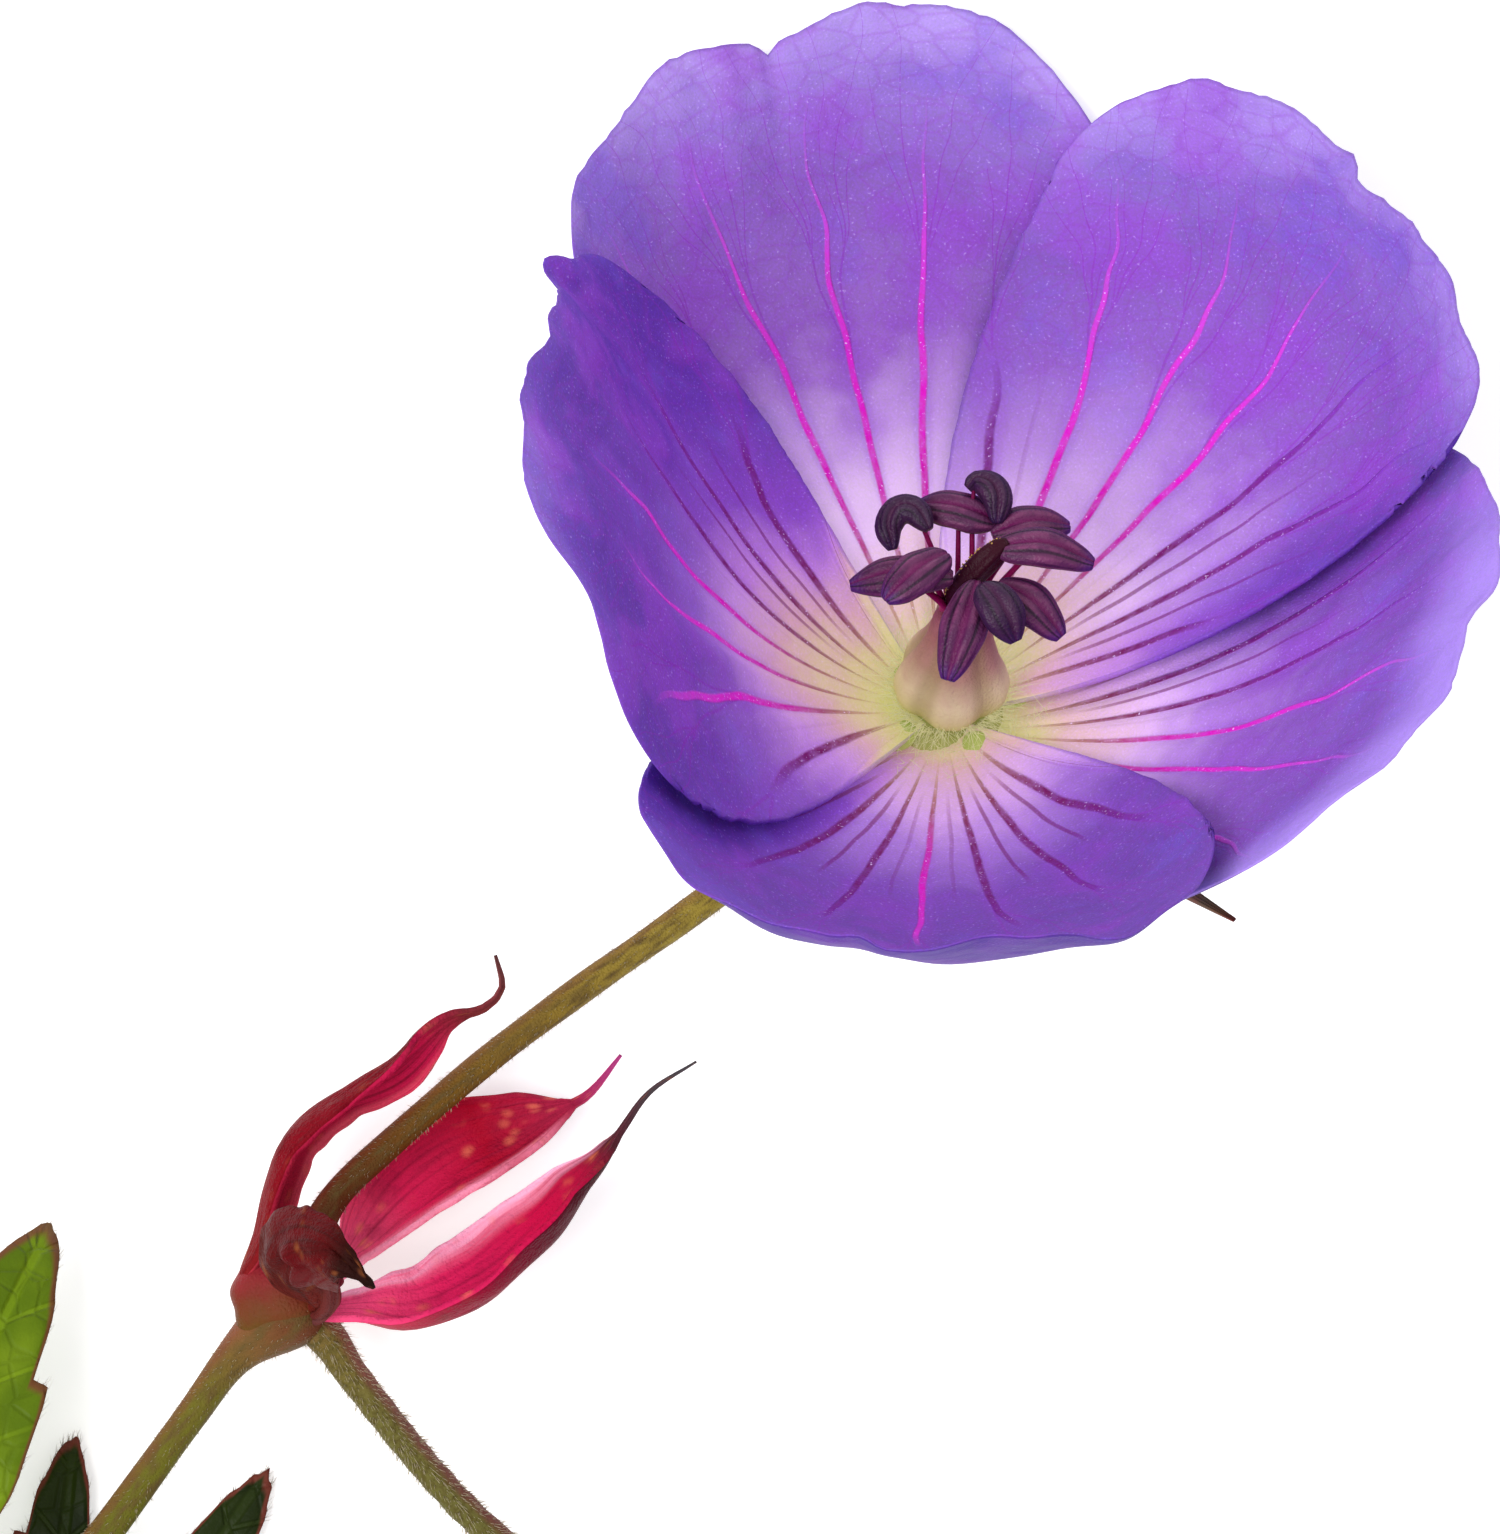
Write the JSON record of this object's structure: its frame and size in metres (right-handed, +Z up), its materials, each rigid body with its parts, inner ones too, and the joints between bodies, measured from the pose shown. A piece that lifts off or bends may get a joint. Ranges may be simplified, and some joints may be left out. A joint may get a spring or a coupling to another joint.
{
  "type": "hardy geranium flowering sprig",
  "caption": "Cut garden flower sprig lying on a table: cupped open bloom on a thin stalk, pointed bracts at the fork, a closed bud and lobed leaves.",
  "frame": {"origin": "middle of the sprig's outline box, on the surface that it lies on", "axes": "+Z up from the surface, +Y from the cut stem end side towards the open flower's top petal, +X from the leaves towards the flower"},
  "size_m": [0.0972, 0.0914, 0.0361],
  "materials": {
    "petal": "soft matt, finely grained, faintly glittering",
    "calyx": "matt, hairy",
    "stamen": "waxy satin",
    "pistil": "satin, speckled with pollen",
    "stem": "matt, finely hairy",
    "bud": "matt, hairy",
    "bract": "satin, translucent",
    "leaf": "satin, finely veined"
  },
  "bodies": {
    "root": {"petal_top": "petal", "petal_upper_right": "petal", "petal_lower_right": "petal", "petal_bottom": "petal", "petal_left": "petal", "sepal_top": "calyx", "sepal_right": "calyx", "sepal_lower_right": "calyx", "sepal_bottom": "calyx", "sepal_left": "calyx", "stamens": "stamen", "pistil": "pistil", "stem": "stem", "bud": "bud", "bract_left": "bract", "bract_middle": "bract", "bract_right": "bract", "bract_front": "bract", "stipule_upper": "bract", "leaf_left": "leaf", "leaf_right": "leaf"}
  },
  "joints": []
}
